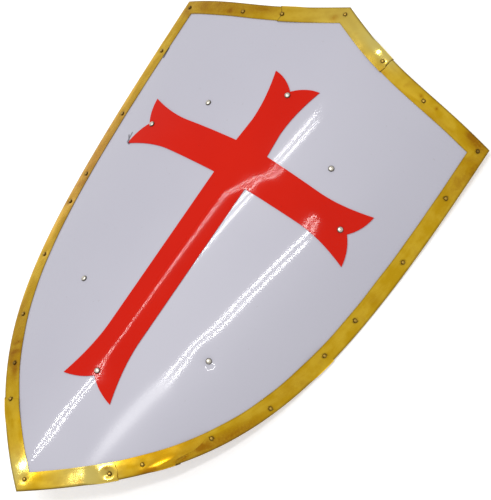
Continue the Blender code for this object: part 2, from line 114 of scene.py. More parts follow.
# %% [markdown]
# The outline is two smooth curves on each side: one from the tip up to the ear, one from the ear to
# the peak. A place on the rim is a distance along the outline and an inset from it. Near a corner
# the inset leans over, so that the two sides of the rim meet on a mitre.

# %% The outline
EAR = Vector((0.2429, 0.643))
TIP_ANGLE = math.radians(36.1)
TIP_PULL = 0.277
EAR_PULL = 0.346
EAR_TOP_ANGLE = math.radians(11.5)
EAR_TOP_PULL = 0.125
PEAK_ANGLE = math.radians(26.2)
PEAK_PULL = 0.110
MITRE_REACH = 0.036
OUTLINE_STEPS = 360


def heading(angle):
    return Vector((math.cos(angle), math.sin(angle)))


def curve(start, start_handle, end_handle, end, steps):
    """Points of one smooth curve, all but its end."""
    points = []
    for step in range(steps):
        t = step / steps
        points.append((1 - t) ** 3 * start + 3 * (1 - t) ** 2 * t * start_handle
                      + 3 * (1 - t) * t ** 2 * end_handle + t ** 3 * end)
    return points


class Run:
    """One smooth curve of the outline, with its length and the lean of the mitres at its two ends."""

    def __init__(self, start, start_handle, end_handle, end, start_lean, end_lean):
        self.leans = (start_lean, end_lean)
        self.points = curve(start, start_handle, end_handle, end, OUTLINE_STEPS) + [end]
        self.marks = [0.0]
        for here, there in zip(self.points, self.points[1:]):
            self.marks.append(self.marks[-1] + (there - here).length)
        self.length = self.marks[-1]

    def at(self, distance, inset):
        index = min(max(bisect.bisect(self.marks, distance) - 1, 0), OUTLINE_STEPS - 1)
        here, there = self.points[index], self.points[index + 1]
        point = here.lerp(there, (distance - self.marks[index]) / (self.marks[index + 1] - self.marks[index]))
        before = self.points[max(index - 1, 0)]
        after = self.points[min(index + 2, OUTLINE_STEPS)]
        along = (after - before).normalized()
        lean = self.leans[0] * max(0.0, 1 - distance / MITRE_REACH)
        lean += self.leans[1] * max(0.0, 1 - (self.length - distance) / MITRE_REACH)
        return point + inset * (Vector((-along.y, along.x)) + lean * along)


PEAK = Vector((0, SHIELD_HEIGHT))
EAR_LEAN = math.tan((math.pi / 2 - EAR_TOP_ANGLE) / 2)
SIDE_RUN = Run(Vector((0, 0)), TIP_PULL * heading(TIP_ANGLE), EAR - EAR_PULL * Vector((0, 1)), EAR,
               math.tan(TIP_ANGLE), -EAR_LEAN)
TOP_RUN = Run(EAR, EAR + EAR_TOP_PULL * heading(math.pi - EAR_TOP_ANGLE),
              PEAK + PEAK_PULL * heading(-PEAK_ANGLE), PEAK, EAR_LEAN, -math.tan(PEAK_ANGLE))
TO_EAR = SIDE_RUN.length
TO_PEAK = TO_EAR + TOP_RUN.length


def rim_place(distance, inset=0.0):
    """Flat place this far along the outline from the tip, positive up the right side, and this far in."""
    around = (distance + TO_PEAK) % (2 * TO_PEAK) - TO_PEAK
    reach = abs(around)
    place = SIDE_RUN.at(reach, inset) if reach < TO_EAR else TOP_RUN.at(reach - TO_EAR, inset)
    return Vector((math.copysign(1, around) * place.x, place.y))


print("tip to ear %.4f m, ear to peak %.4f m" % (TO_EAR, TOP_RUN.length))

# %% [markdown]
# Finishes are made of shader nodes. Writing node maths by hand is slow to read, so a small class
# wraps an output socket: ordinary arithmetic on it adds the Math nodes. One method makes any other
# node from its type, its settings and what its sockets get.

# %% Shader maths as arithmetic


class Signal:
    """What one node gives out, to be added, multiplied and compared like a number."""

    def __init__(self, finish, socket):
        self.finish = finish
        self.socket = socket

    def maths(self, operation, *values, clamp=False):
        settings = {"operation": operation, "use_clamp": clamp}
        return self.finish.node("Math", settings, dict(enumerate(values)))

    def __add__(self, other):
        return self.maths("ADD", self, other)

    def __sub__(self, other):
        return self.maths("SUBTRACT", self, other)

    def __rsub__(self, other):
        return self.maths("SUBTRACT", other, self)

    def __mul__(self, other):
        return self.maths("MULTIPLY", self, other)

    def __truediv__(self, other):
        return self.maths("DIVIDE", self, other)

    __radd__ = __add__
    __rmul__ = __mul__

    def clipped(self):
        return self.maths("ADD", self, 0.0, clamp=True)

    def root(self):
        return self.maths("SQRT", self)

    def or_more(self, other):
        return self.maths("MAXIMUM", self, other)

    def step(self, low, high):
        """0 below low, 1 above high, and smooth between them. High may be the smaller."""
        share = ((self - low) / (high - low)).clipped()
        return share * share * (3 - 2 * share)


class Finish:
    """A material for one kind of surface."""

    def __init__(self, name, **constants):
        self.material = bpy.data.materials.new(name)
        self.material.use_nodes = True
        self.tree = self.material.node_tree
        self.shader = self.tree.nodes["Principled BSDF"]
        for socket, value in constants.items():
            self.feed(self.shader.inputs[socket.replace("_", " ")], value)
        self.place = self.node("TexCoord", out="Object")

    def feed(self, socket, value):
        if isinstance(value, Signal):
            self.tree.links.new(value.socket, socket)
        else:
            socket.default_value = value

    def node(self, kind, settings=None, inputs=None, out=0):
        made = self.tree.nodes.new("ShaderNode" + kind)
        made.location = (-220 * (1 + len(self.tree.nodes) % 9), -170 * (len(self.tree.nodes) // 9))
        for key, value in (settings or {}).items():
            setattr(made, key, value)
        for key, value in (inputs or {}).items():
            self.feed(made.inputs[key], value)
        return Signal(self, made.outputs[out])

    def mix(self, first, second, share):
        """Colour between two colours."""
        return self.node("Mix", {"data_type": "RGBA"}, {0: share, 6: first, 7: second}, out=2)

    def grain(self, size, detail=2.0, roughness=0.5, place=None):
        """Soft random pattern, from about 0.25 to 0.75, whose patches are about this size in metres."""
        inputs = {"Vector": place or self.place, "Scale": 1 / size, "Detail": detail, "Roughness": roughness}
        return self.node("TexNoise", None, inputs)

    def attribute(self, name):
        return self.node("Attribute", {"attribute_name": name}, out="Fac")

    def use(self, colour, roughness=None, height=None, depth=0.0):
        """Give the shader its colour and roughness, and a relief this many metres deep."""
        self.feed(self.shader.inputs["Base Color"], colour)
        if roughness is not None:
            self.feed(self.shader.inputs["Roughness"], roughness)
        if height is not None:
            relief = self.node("Bump", None, {"Strength": 1.0, "Distance": depth, "Height": height})
            self.feed(self.shader.inputs["Normal"], relief)


# %% [markdown]
# Baked enamel is a thick, glossy skin with a faint orange peel. The peel is far too fine to model,
# a few thousandths of a millimetre high, so it is a bump. A slow pattern makes it stronger in some
# places, and so do the sparkling patches, where the long reflections break up. In the still patch it
# is almost gone, and in the dull one the gloss is softer. A mark or a patch lies along a line of the
# flat drawing, and is given as the line's two ends and how far from it the mark reaches.

# %% Places in the flat drawing
LINE_CORE = 0.3         # share of its reach over which a mark keeps its full strength


def flat_place(finish):
    """Place in the flat drawing, which the sheets keep as their UV map: s and w in metres."""
    flat = finish.node("UVMap", {"uv_map": "flat"})
    return [finish.node("SeparateXYZ", None, {0: flat}, out=axis) for axis in ("X", "Y")]


def near_line(finish, start, end, reach):
    """1 on a straight line of the flat drawing, fading to 0 this far from it."""
    s, w = flat_place(finish)
    run, rise = end[0] - start[0], end[1] - start[1]
    s, w = s - start[0], w - start[1]
    share = ((s * run + w * rise) * (1 / (run * run + rise * rise))).clipped()
    s, w = s - share * run, w - share * rise
    return (s * s + w * w).root().step(reach, reach * LINE_CORE)


# %% White enamel
CREASE = ((-0.0499, 0.6823), (-0.0324, 0.6710), 0.003)
RIM_CHIP = ((-0.2188, 0.5553), (-0.2208, 0.5695), 0.0022)
CROSS_SCRATCHES = (((-0.1847, 0.4383), (-0.1733, 0.4273), 0.0015),
                   ((-0.1815, 0.4430), (-0.1790, 0.4290), 0.0015))
DULL_PATCH = ((0.086, 0.170), (0.050, 0.050), 0.050)
STILL_PATCH = ((0.105, 0.345), (0.078, 0.200), 0.060)
SPARKLING_PATCHES = (((-0.003, 0.145), (-0.006, 0.045), 0.050), ((0.120, 0.440), (0.104, 0.370), 0.040))
WHITE_TONES = (0.470, 0.460, 0.533, 1), (0.502, 0.492, 0.560, 1)
SPECK_TONE = (0.33, 0.30, 0.30, 1)
CHIP_TONE = (0.05, 0.045, 0.06, 1)
CLOUD_SIZE, LIVELY_SIZE, SCUFF_SIZE, SPECK_SIZE = 0.12, 0.05, 0.03, 0.0045
PEEL_SIZE, COARSE_PEEL_SIZE = 0.0018, 0.0030
WHITE_PEEL_DEPTH = 0.000012
CREASE_DEPTH = 6.0              # in depths of the peel

white = Finish("white_enamel", Specular_IOR_Level=0.25, Coat_Weight=1.0, Coat_Roughness=0.42)
speck = white.grain(SPECK_SIZE, detail=3.0).step(0.70, 0.76)
chips = near_line(white, *RIM_CHIP)
for scratch in CROSS_SCRATCHES:
    chips = chips.or_more(near_line(white, *scratch))
tone = white.mix(*WHITE_TONES, white.grain(CLOUD_SIZE))
tone = white.mix(tone, SPECK_TONE, speck * 0.25)
tone = white.mix(tone, CHIP_TONE, chips * 0.9)
sparkling = sum(near_line(white, *patch) for patch in SPARKLING_PATCHES)
lively = 0.16 + 0.12 * white.grain(LIVELY_SIZE).step(0.42, 0.62)
lively = lively * (1 - 0.8 * near_line(white, *STILL_PATCH))
peel = white.grain(PEEL_SIZE, detail=1.0) * lively
peel = peel + white.grain(COARSE_PEEL_SIZE, detail=1.0) * sparkling * 0.28
peel = peel - near_line(white, *CREASE) * CREASE_DEPTH
scuff = white.grain(SCUFF_SIZE, detail=4.0).step(0.50, 0.75)
dull = near_line(white, *DULL_PATCH) * 0.08
roughness = 0.068 + scuff * 0.01 - sparkling * 0.010 + dull + chips * 0.4
white.use(tone, roughness, peel, WHITE_PEEL_DEPTH)

# %% Red enamel
RED_SPARKLING_PATCHES = (((0.010, 0.442), (0.038, 0.492), 0.035), ((0.112, 0.460), (0.120, 0.456), 0.035),
                         ((0.000, 0.195), (-0.005, 0.150), 0.030))
TIP_CHIP = ((-0.1775, 0.4262), (-0.1750, 0.4280), 0.0030)
RED_TONES = (0.57, 0.007, 0.0003, 1), (0.64, 0.011, 0.0006, 1)
RED_SPECK_TONE = (0.30, 0.006, 0.004, 1)
TIP_CHIP_TONE = (0.030, 0.012, 0.040, 1)
RED_CLOUD_SIZE, RED_SCUFF_SIZE, RED_SPECK_SIZE = 0.08, 0.02, 0.004
RED_PEEL_DEPTH = 0.000036

red = Finish("red_enamel", Specular_IOR_Level=0.17)
speck = red.grain(RED_SPECK_SIZE, detail=3.0).step(0.70, 0.76)
tone = red.mix(*RED_TONES, red.grain(RED_CLOUD_SIZE))
tone = red.mix(tone, RED_SPECK_TONE, speck * 0.3)
tone = red.mix(tone, TIP_CHIP_TONE, near_line(red, *TIP_CHIP) * 0.9)
sparkling = sum(near_line(red, *patch) for patch in RED_SPARKLING_PATCHES)
peel = red.grain(COARSE_PEEL_SIZE, detail=1.0) * (0.12 + 0.48 * sparkling)
scuff = red.grain(RED_SCUFF_SIZE, detail=4.0).step(0.55, 0.8)
red.use(tone, 0.085 + scuff * 0.03 - sparkling * 0.012, peel, RED_PEEL_DEPTH)

# %% [markdown]
# A sheet starts as one flat face with the right outline. Straight cuts divide it into small squares,
# which is what lets it bend smoothly. It is then thickened, its flat place is kept as a UV map, and
# it is bent. The plate and the cross use the same cuts, so that they bend alike. Only round one small
# dent beside a rivet is the plate cut finer.

# %% Sheets
PLATE_THICKNESS = 0.0012
CROSS_THICKNESS = 0.0008
BRASS_THICKNESS = 0.0006
SHEET_GAP = 0.0003
SHARP = math.radians(38)


def divide(bm, middle, reach, cell):
    """Cut the flat faces into squares, out to this far on each side of the middle."""
    for axis in (0, 1):
        direction = Vector([float(index == axis) for index in range(3)])
        low, high = middle[axis] - reach, middle[axis] + reach
        for line in range(math.ceil(low / cell), math.floor(high / cell) + 1):
            near = []
            for face in bm.faces:
                x, y, _ = face.calc_center_median()
                if max(abs(x - middle[0]), abs(y - middle[1])) < reach:
                    near.append(face)
            edges = {edge for face in near for edge in face.edges}
            verts = {vert for face in near for vert in face.verts}
            bmesh.ops.bisect_plane(bm, geom=[*verts, *edges, *near], dist=1e-6,
                                   plane_co=direction * line * cell, plane_no=direction)


def blank(outline, cell):
    """Flat face with this outline, divided into squares."""
    bm = bmesh.new()
    bm.faces.new([bm.verts.new((point.x, point.y, 0)) for point in outline])
    divide(bm, (0, 0), SHIELD_HEIGHT, cell)
    return bm


def thicken(bm, low, high):
    bmesh.ops.translate(bm, verts=bm.verts, vec=(0, 0, low))
    raised = bmesh.ops.extrude_face_region(bm, geom=bm.faces[:])["geom"]
    top = [item for item in raised if isinstance(item, bmesh.types.BMVert)]
    bmesh.ops.translate(bm, verts=top, vec=(0, 0, high - low))


BACK_SHIFT = Vector((2.0, 0.0))      # so that marks on the front don't show on the back too


def keep_flat_place(bm):
    flat = bm.loops.layers.uv.new("flat")
    for face in bm.faces:
        for loop in face.loops:
            place = loop.vert.co
            loop[flat].uv = place.xy + BACK_SHIFT if place.z < -PLATE_THICKNESS / 2 else place.xy


def piece(bm, name, node, finish):
    """Object made of this mesh, which rides on the shield and stands for one of its solids."""
    bmesh.ops.transform(bm, matrix=RESTING_PLACE, verts=bm.verts)
    bmesh.ops.recalc_face_normals(bm, faces=bm.faces)
    for face in bm.faces:
        face.smooth = True
    for edge in bm.edges:
        edge.smooth = edge.calc_face_angle(0) < SHARP
    mesh = bpy.data.meshes.new(name)
    bm.to_mesh(mesh)
    bm.free()
    mesh.materials.append(finish.material)
    made = bpy.data.objects.new(name, mesh)
    bpy.context.scene.collection.objects.link(made)
    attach(made, "root")
    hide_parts(node)
    return made


# %% The plate
PLATE_CELL = 0.0035
FINE_CELL, FINE_REACH = 0.0010, 0.014      # finer round the small dent beside one rivet
PLATE_INSET = BRASS_THICKNESS + SHEET_GAP
OUTLINE_CHORD = 0.003

chords = round(2 * TO_PEAK / OUTLINE_CHORD)
outline = [rim_place(2 * TO_PEAK * index / chords, PLATE_INSET) for index in range(chords)]
sheet = blank(outline, PLATE_CELL)
divide(sheet, RING_DENT[:2], FINE_REACH, FINE_CELL)
thicken(sheet, -PLATE_THICKNESS, 0)
keep_flat_place(sheet)
for vert in sheet.verts:
    vert.co = formed(*vert.co)
plate = piece(sheet, "shield_plate", "plate", white)
print(plate.name, len(plate.data.polygons), "faces")

# %% [markdown]
# The cross is its own sheet, cut with shears and held by one rivet near each end. Each arm narrows
# from the crossing and then flares into two lobes. Between its rivets the thin sheet stands a little
# proud of the plate, in a low ridge along each arm. That is why the long reflections jump there.

# %% The cross
CROSSING = Vector((-0.0019, 0.469))
BAR_WIDTH = 0.0478
SIDE_LENGTH, TOP_LENGTH, FOOT_LENGTH = 0.1742, 0.1259, 0.3250
SIDE_ARM = (SIDE_LENGTH, 0.0706, 0.0450, 0.070, 0.0156)   # length, spread, waist, flare, notch
TOP_ARM = (TOP_LENGTH, 0.0672, 0.0430, 0.070, 0.0165)
FOOT_ARM = (FOOT_LENGTH, 0.0752, 0.0476, 0.080, 0.0172)
ARMS = {"right": (0, SIDE_ARM, 0.0097), "top": (90, TOP_ARM, 0.0058),
        "left": (180, SIDE_ARM, 0.0053), "foot": (270, FOOT_ARM, 0.0062)}   # turn, sizes, notch to rivet
SIDE_DROOP = 0.0065
LOBE_BULGE = 0.003
FLARE_CURVE = 0.4
FLARE_STEPS, LOBE_STEPS = 24, 12
CROSS_CELL = 0.0035
CROWNS = {"foot": 0.0016, "side": 0.0008, "top": 0.0002}     # height of the ridge along each arm
CROWN_ROUND = 0.005          # the ridge along each arm is rounded over this half width
CROWN_START = 0.042          # from the crossing, where the ridge of an upright arm reaches its height
CROWN_END = 0.020            # from the end of an arm, where its ridge has run out
CROWN_FADE = 0.055


def arm(length, spread, waist, flare, notch):
    """Outline of one arm along +X, from its right crossing corner round to its left one."""
    widening = (spread - waist) / 2
    narrow = Vector((length - flare, -waist / 2))
    tip = narrow + Vector((flare, -widening))
    bottom = Vector((length - notch, 0))
    swell = (tip + bottom) / 2 + Vector((bottom.y - tip.y, tip.x - bottom.x)).normalized() * LOBE_BULGE * 2
    leaving = narrow + Vector((flare / 3, 0))
    arriving = narrow + Vector((flare * 2 / 3, -FLARE_CURVE * widening))
    right = curve(narrow, leaving, arriving, tip, FLARE_STEPS)
    right += curve(tip, tip.lerp(swell, 2 / 3), bottom.lerp(swell, 2 / 3), bottom, LOBE_STEPS)
    left = [Vector((point.x, -point.y)) for point in reversed(right)]
    return [Vector((BAR_WIDTH, -BAR_WIDTH)) / 2] + right + [bottom] + left


def droop(aside):
    """How far a side arm hangs down at this distance from the middle of the cross."""
    return SIDE_DROOP * max(aside - BAR_WIDTH / 2, 0) / (SIDE_LENGTH - BAR_WIDTH / 2)


def on_cross(point, turn):
    turned = Matrix.Rotation(math.radians(turn), 2) @ point
    return turned + CROSSING - Vector((0, droop(abs(turned.x))))


def smooth(share):
    share = min(1.0, max(0.0, share))
    return share * share * (3 - 2 * share)


def gable(aside):
    """Height of a rounded ridge at this distance from its middle line, as a share."""
    fall, whole_fall = [math.hypot(reach, CROWN_ROUND) - CROWN_ROUND for reach in (aside, BAR_WIDTH / 2)]
    return max(0.0, 1 - fall / whole_fall)


def crown(s, w):
    """How far the cross stands off the plate here, beyond its own gap."""
    x, y = s - CROSSING.x, w - CROSSING.y
    y += droop(abs(x))
    upright, length = ("foot", FOOT_LENGTH) if y < 0 else ("top", TOP_LENGTH)
    rising, ending = smooth(abs(y) / CROWN_START), smooth((length - CROWN_END - abs(y)) / CROWN_FADE)
    up = CROWNS[upright] * gable(x) * rising * ending
    side = CROWNS["side"] * gable(y) * smooth((SIDE_LENGTH - CROWN_END - abs(x)) / CROWN_FADE)
    return math.hypot(up, side)


outline = [on_cross(point, turn) for turn, sizes, _ in ARMS.values() for point in arm(*sizes)]
sheet = blank(outline, CROSS_CELL)
thicken(sheet, SHEET_GAP, SHEET_GAP + CROSS_THICKNESS)
keep_flat_place(sheet)
for vert in sheet.verts:
    s, w, n = vert.co
    vert.co = formed(s, w, n + crown(s, w))
cross = piece(sheet, "shield_cross", "cross", red)
print(cross.name, len(cross.data.polygons), "faces")

# %% [markdown]
# Brass sheet of this kind is rolled, then rubbed bright by hand, so its shine is soft and patchy. It
# tarnishes brown where fingers and flux were, as at the laps and the ears. Along one stretch of the left
# side the brown is also painted shade, which dims the floor's reflection there. In other places the
# brass is polished, and there a paler tone is a painted highlight where the long lights are mirrored.
# Those places are painted on the strips as attributes, and a grain breaks up the edges of the stains.

# %% Brass
BRASS_TONES = (0.72, 0.425, 0.008, 1), (0.84, 0.540, 0.032, 1)
PAINTED_SHEEN_TONE = (0.88, 0.73, 0.21, 1)
STAIN_AND_SHADE_TONE = (0.44, 0.185, 0.004, 1)
GRIME_AND_SHADE_TONE = (0.050, 0.026, 0.006, 1)
RUBBED_SIZE, PATCH_SIZE, HAMMER_SIZE, FINE_SIZE = 0.035, 0.022, 0.012, 0.0030
RUBBED_STRETCH = 4              # rubbed streaks are this much longer than wide
HAMMER_DEPTH = 0.00005

brass = Finish("brass", Metallic=1.0, Coat_Weight=0.12, Coat_Roughness=0.10)
strip_map = brass.node("UVMap", {"uv_map": "strip"})
lengthwise = brass.node("Mapping", None, {"Vector": strip_map, "Scale": (1, RUBBED_STRETCH, 1)})
rubbed = brass.grain(RUBBED_SIZE, detail=3.0, place=lengthwise)
patch = brass.grain(PATCH_SIZE, detail=4.0)
fine = brass.grain(FINE_SIZE, detail=4.0, roughness=0.6)
stain_and_shade = (brass.attribute("stain_and_shade") * (0.35 + 1.3 * fine) + patch.step(0.56, 0.72) * 0.3).clipped()
grime_and_shade = brass.attribute("grime_and_shade")
polish_and_sheen = brass.attribute("polish_and_sheen")
tone = brass.mix(*BRASS_TONES, (rubbed * 0.4 + patch * 0.6).step(0.40, 0.60))
# Painted highlight: paler brass where the long lights are mirrored
tone = brass.mix(tone, PAINTED_SHEEN_TONE, polish_and_sheen * 0.8)
# Brown where the brass is stained, and along the left side also painted shade
tone = brass.mix(tone, STAIN_AND_SHADE_TONE, stain_and_shade)
# Darker where grime and painted shade lie: round the rivets, along the inner edge and on the fold
tone = brass.mix(tone, GRIME_AND_SHADE_TONE, (grime_and_shade * (0.75 + 0.5 * fine)).clipped())
hammered = brass.grain(HAMMER_SIZE, detail=1.0) * 2.0 + rubbed * 0.8 + fine * 0.25
roughness = 0.155 + rubbed * 0.08 - polish_and_sheen * 0.09 + stain_and_shade * 0.08 + grime_and_shade * 0.3
brass.use(tone, roughness, hammered, HAMMER_DEPTH)

# %% [markdown]
# The rim is six strips of brass folded over the edge and riveted through. Where two strips meet, one
# end laps over the other. A strip is made as a flat grid: one way runs along the rim, the other goes
# round the folded section. Each vertex of the grid is then moved to its place, and the seam is closed.

# %% Sizes of the rim
RIM_WIDTH = 0.0215
PEAK_RIM_WIDTH = 0.0226
RIM_BACK_WIDTH = 0.0165
LAP = 0.018
LAP_RAMP = 0.022
LAP_SHORT = 0.001            # the end underneath stops this far short of the other one's bend
LAP_UNDER = LAP - LAP_SHORT
LAP_LIFT = BRASS_THICKNESS + SHEET_GAP
RIM_FRONT = SHEET_GAP + BRASS_THICKNESS
RIM_BACK = PLATE_THICKNESS + SHEET_GAP + BRASS_THICKNESS
FOOT_SEAM = 0.272 * TO_EAR
LOW_SEAM = 0.570 * TO_EAR
TIP_END = 0.1679 * TO_EAR
PEAK_END = TO_PEAK - 0.3658 * TOP_RUN.length
STATION_STEP = 0.002

# The snipped end of a strip: (share of its width in from the outer edge, extra length there)
STRAIGHT = ((0, 0), (1, 0))
PEAK_RIGHT_CUT = ((0, 0), (0.45, -0.0006), (0.62, 0.0016), (1, 0.0016))
PEAK_LEFT_CUT = ((0, 0), (0.40, -0.0036), (0.65, -0.0047), (1, -0.0015))
TIP_RIGHT_CUT = ((0, 0.0025), (0.20, 0.0010), (0.50, 0.0030), (0.75, 0.0006), (1, 0.0006))
TIP_LEFT_CUT = ((0, -0.003), (0.25, -0.0045), (0.45, -0.006), (1, -0.0095))
FOOT_CUT = ((0, -0.006), (0.22, -0.004), (0.33, 0.003), (0.38, 0.016), (0.50, 0.028), (0.72, 0.037),
            (0.88, 0.042), (1, 0.044))
CUT_SETTLE = 0.07            # the grid leans over this length to follow the cut

# Start, end, width, whether each end lies over its neighbour, the cut of each end, dirt on the cuts
STRIPS = {
    "rim_peak": (PEAK_END, 2 * TO_PEAK - PEAK_END, PEAK_RIM_WIDTH, True, True,
                 PEAK_RIGHT_CUT, PEAK_LEFT_CUT, 0.7),
    "rim_tip": (-TIP_END, TIP_END, RIM_WIDTH, True, True, TIP_LEFT_CUT, TIP_RIGHT_CUT, 0.15),
    "rim_right_foot": (TIP_END - LAP_UNDER, FOOT_SEAM, RIM_WIDTH, False, True, STRAIGHT, FOOT_CUT, 0.1),
    "rim_right_low": (FOOT_SEAM - LAP_UNDER, LOW_SEAM, RIM_WIDTH, False, True, STRAIGHT, STRAIGHT, 0.0),
    "rim_right": (LOW_SEAM - LAP_UNDER, PEAK_END + LAP_UNDER, RIM_WIDTH, False, False,
                  STRAIGHT, STRAIGHT, 0.0),
    "rim_left": (-PEAK_END - LAP_UNDER, -TIP_END + LAP_UNDER, RIM_WIDTH, False, False,
                 STRAIGHT, STRAIGHT, 0.0),
}

# %% Rivets of the rim, up the right side and then up the left
# Share of the way from tip to ear, or from ear to peak, and share of the width in from the outer edge
RIGHT_RIVETS = ((0.158, 0.40), (0.213, 0.52), (0.333, 0.59), (0.441, 0.33),
                (0.564, 0.54), (0.641, 0.57), (0.765, 0.47), (0.892, 0.56))
LEFT_RIVETS = ((0.159, 0.44), (0.226, 0.60), (0.323, 0.55), (0.446, 0.53),
               (0.558, 0.52), (0.617, 0.61), (0.749, 0.62), (0.889, 0.54))
RIGHT_TOP_RIVETS = ((0.385, 0.53), (0.660, 0.50))
LEFT_TOP_RIVETS = ((0.427, 0.62), (0.656, 0.56))
TIP_RIVET, EAR_RIVET, PEAK_RIVET = 0.64, 0.53, 0.50

rim_rivets = [(0.0, TIP_RIVET * RIM_WIDTH), (TO_PEAK, PEAK_RIVET * RIM_WIDTH)]
for side, lower, upper in ((1, RIGHT_RIVETS, RIGHT_TOP_RIVETS), (-1, LEFT_RIVETS, LEFT_TOP_RIVETS)):
    rim_rivets += [(side * share * TO_EAR, across * RIM_WIDTH) for share, across in lower]
    rim_rivets.append((side * TO_EAR, EAR_RIVET * RIM_WIDTH))
    rim_rivets += [(side * (TO_EAR + share * TOP_RUN.length), across * RIM_WIDTH) for share, across in upper]
print(len(rim_rivets), "rim rivets")

# %% Stains and painted shade, and places of polish and painted sheen along the rim: distance, inset, reach along, reach across, strength
STAINS_AND_SHADE = (
    (TO_EAR + 0.013, 0.006, 0.018, 0.006, 0.9), (TO_EAR + 0.027, 0.004, 0.008, 0.004, 0.9),
    (TO_EAR + 0.075, 0.018, 0.030, 0.004, 0.3), (TO_EAR - 0.018, 0.014, 0.006, 0.006, 0.3),
    (TO_EAR - 0.045, 0.010, 0.045, 0.016, 0.35), (TO_EAR - 0.030, 0.004, 0.012, 0.003, 0.5),
    (-TO_EAR + 0.009, 0.012, 0.010, 0.012, 0.5), (-TO_EAR - 0.050, 0.010, 0.060, 0.020, 0.45),
    (-TO_EAR - 0.037, 0.009, 0.010, 0.010, 0.3), (-TO_EAR - 0.087, 0.014, 0.003, 0.003, 1.0),
    (-TO_EAR - 0.139, 0.006, 0.022, 0.006, 0.6), (-TO_EAR - 0.100, 0.010, 0.040, 0.016, 0.3),
    (-0.200, 0.012, 0.045, 0.020, 0.45), (-0.180, 0.011, 0.004, 0.012, 0.7),
    (-0.193, 0.014, 0.003, 0.008, 0.5), (-0.155, 0.014, 0.012, 0.006, 0.8),
    (-0.168, 0.006, 0.008, 0.005, 0.5), (-0.245, 0.006, 0.020, 0.008, 0.3),
    (0.250, 0.006, 0.040, 0.010, 0.65), (0.225, 0.009, 0.006, 0.004, 0.9), (0.202, 0.005, 0.006, 0.003, 0.8),
    (0.168, 0.010, 0.040, 0.030, 0.45),
    (0.163, 0.003, 0.010, 0.0025, 0.9), (0.285, 0.004, 0.030, 0.006, 0.4), (0.253, 0.018, 0.012, 0.002, -0.8),
    (0.350, 0.012, 0.030, 0.010, 0.25), (0.078, 0.006, 0.004, 0.005, 0.6), (0.111, 0.016, 0.003, 0.003, 0.6),
    (0.498, 0.010, 0.008, 0.008, 0.25), (TO_EAR + 0.104, 0.009, 0.002, 0.002, 1.0),
    (TO_EAR + 0.080, 0.008, 0.002, 0.002, 1.0), (0.880, 0.019, 0.006, 0.003, 0.4),
    # The last row darkens a long stretch of the left side: tarnish, and painted shade that dims the floor's
    # bright reflection there
    (-0.965, 0.016, 0.006, 0.005, 0.6), (-0.470, 0.011, 0.110, 0.030, 0.75),
)
POLISH_AND_SHEEN = (
    (0.088, 0.011, 0.034, 0.030, 1.0), (-0.022, 0.010, 0.022, 0.030, 1.0), (0.905, 0.004, 0.026, 0.008, 1.0),
    (0.945, 0.011, 0.055, 0.030, 0.6), (-0.940, 0.011, 0.050, 0.030, 0.2),
    (0.175, 0.010, 0.034, 0.030, -0.7),     # less than none: rubbed dull
)


def painted(patches, distance, inset):
    total = 0.0
    for along, across, reach_along, reach_across, strength in patches:
        apart = (distance - along + TO_PEAK) % (2 * TO_PEAK) - TO_PEAK
        total += strength * fade((apart / reach_along) ** 2 + ((inset - across) / reach_across) ** 2)
    return total


# %% The section of a strip, from the front lip over the fold to the back lip, and back inside
FRONT_PARTS, FOLD_PARTS, BACK_PARTS = 12, 8, 6
INNER_BACK_PARTS, INNER_FOLD_PARTS = 3, 4


def strip_section(width, lift):
    front, back = RIM_FRONT + lift, -RIM_BACK - lift
    outer = (front - back) / 2
    middle = (front + back) / 2
    inset = outer - lift
    loop = [(width + (inset - width) * step / FRONT_PARTS, front) for step in range(FRONT_PARTS)]
    loop += [(inset - outer * math.sin(turn), middle + outer * math.cos(turn))
             for turn in (math.pi * step / FOLD_PARTS for step in range(FOLD_PARTS))]
    loop += [(inset + (RIM_BACK_WIDTH - inset) * step / BACK_PARTS, back) for step in range(BACK_PARTS + 1)]
    inner = outer - BRASS_THICKNESS
    loop += [(RIM_BACK_WIDTH + (inset - RIM_BACK_WIDTH) * step / INNER_BACK_PARTS, back + BRASS_THICKNESS)
             for step in range(INNER_BACK_PARTS)]
    loop += [(inset - inner * math.sin(turn), middle - inner * math.cos(turn))
             for turn in (math.pi * step / INNER_FOLD_PARTS for step in range(INNER_FOLD_PARTS))]
    return loop + [(inset + (width - inset) * step / FRONT_PARTS, front - BRASS_THICKNESS)
                   for step in range(FRONT_PARTS + 1)]


# %% Along a strip
def strip_lift(distance, start, end, start_over, end_over):
    lift = 0.0
    for is_over, gone in ((start_over, distance - start), (end_over, end - distance)):
        if is_over:
            lift = max(lift, smooth((LAP + LAP_RAMP - gone) / LAP_RAMP))
    return lift * LAP_LIFT


def strip_stations(start, end, start_over, end_over):
    stops = {start, end}
    if start_over:
        stops |= {start + LAP, start + LAP + LAP_RAMP}
    if end_over:
        stops |= {end - LAP, end - LAP - LAP_RAMP}
    stops |= {corner for corner in (0.0, TO_EAR, TO_PEAK, -TO_EAR, -TO_PEAK, 2 * TO_PEAK - TO_EAR)
              if start < corner < end}
    stops = sorted(stops)
    stations = [start]
    for here, there in zip(stops, stops[1:]):
        count = max(1, math.ceil((there - here) / STATION_STEP))
        stations += [here + (there - here) * (step + 1) / count for step in range(count)]
    return stations


def cut_at(cut, share):
    for (here, low), (there, high) in zip(cut, cut[1:]):
        if share <= there:
            return low + (high - low) * (share - here) / (there - here)
    return cut[-1][1]


# %% Hand work on the strips
SWELL, SWELL_LENGTH, SWELL_BREADTH = 0.0003, 0.035, 0.03
RIVET_PULL, RIVET_PULL_REACH = 0.00035, 0.0045
# Where the outer edge stands up: distance, reach, height, insets between which it rises
LEANS = ((0.903, 0.018, 0.00085, 0.002, 0.012), (0.880, 0.010, 0.00020, 0.006, 0.020),
         (-0.030, 0.016, 0.00030, 0.000, 0.018))
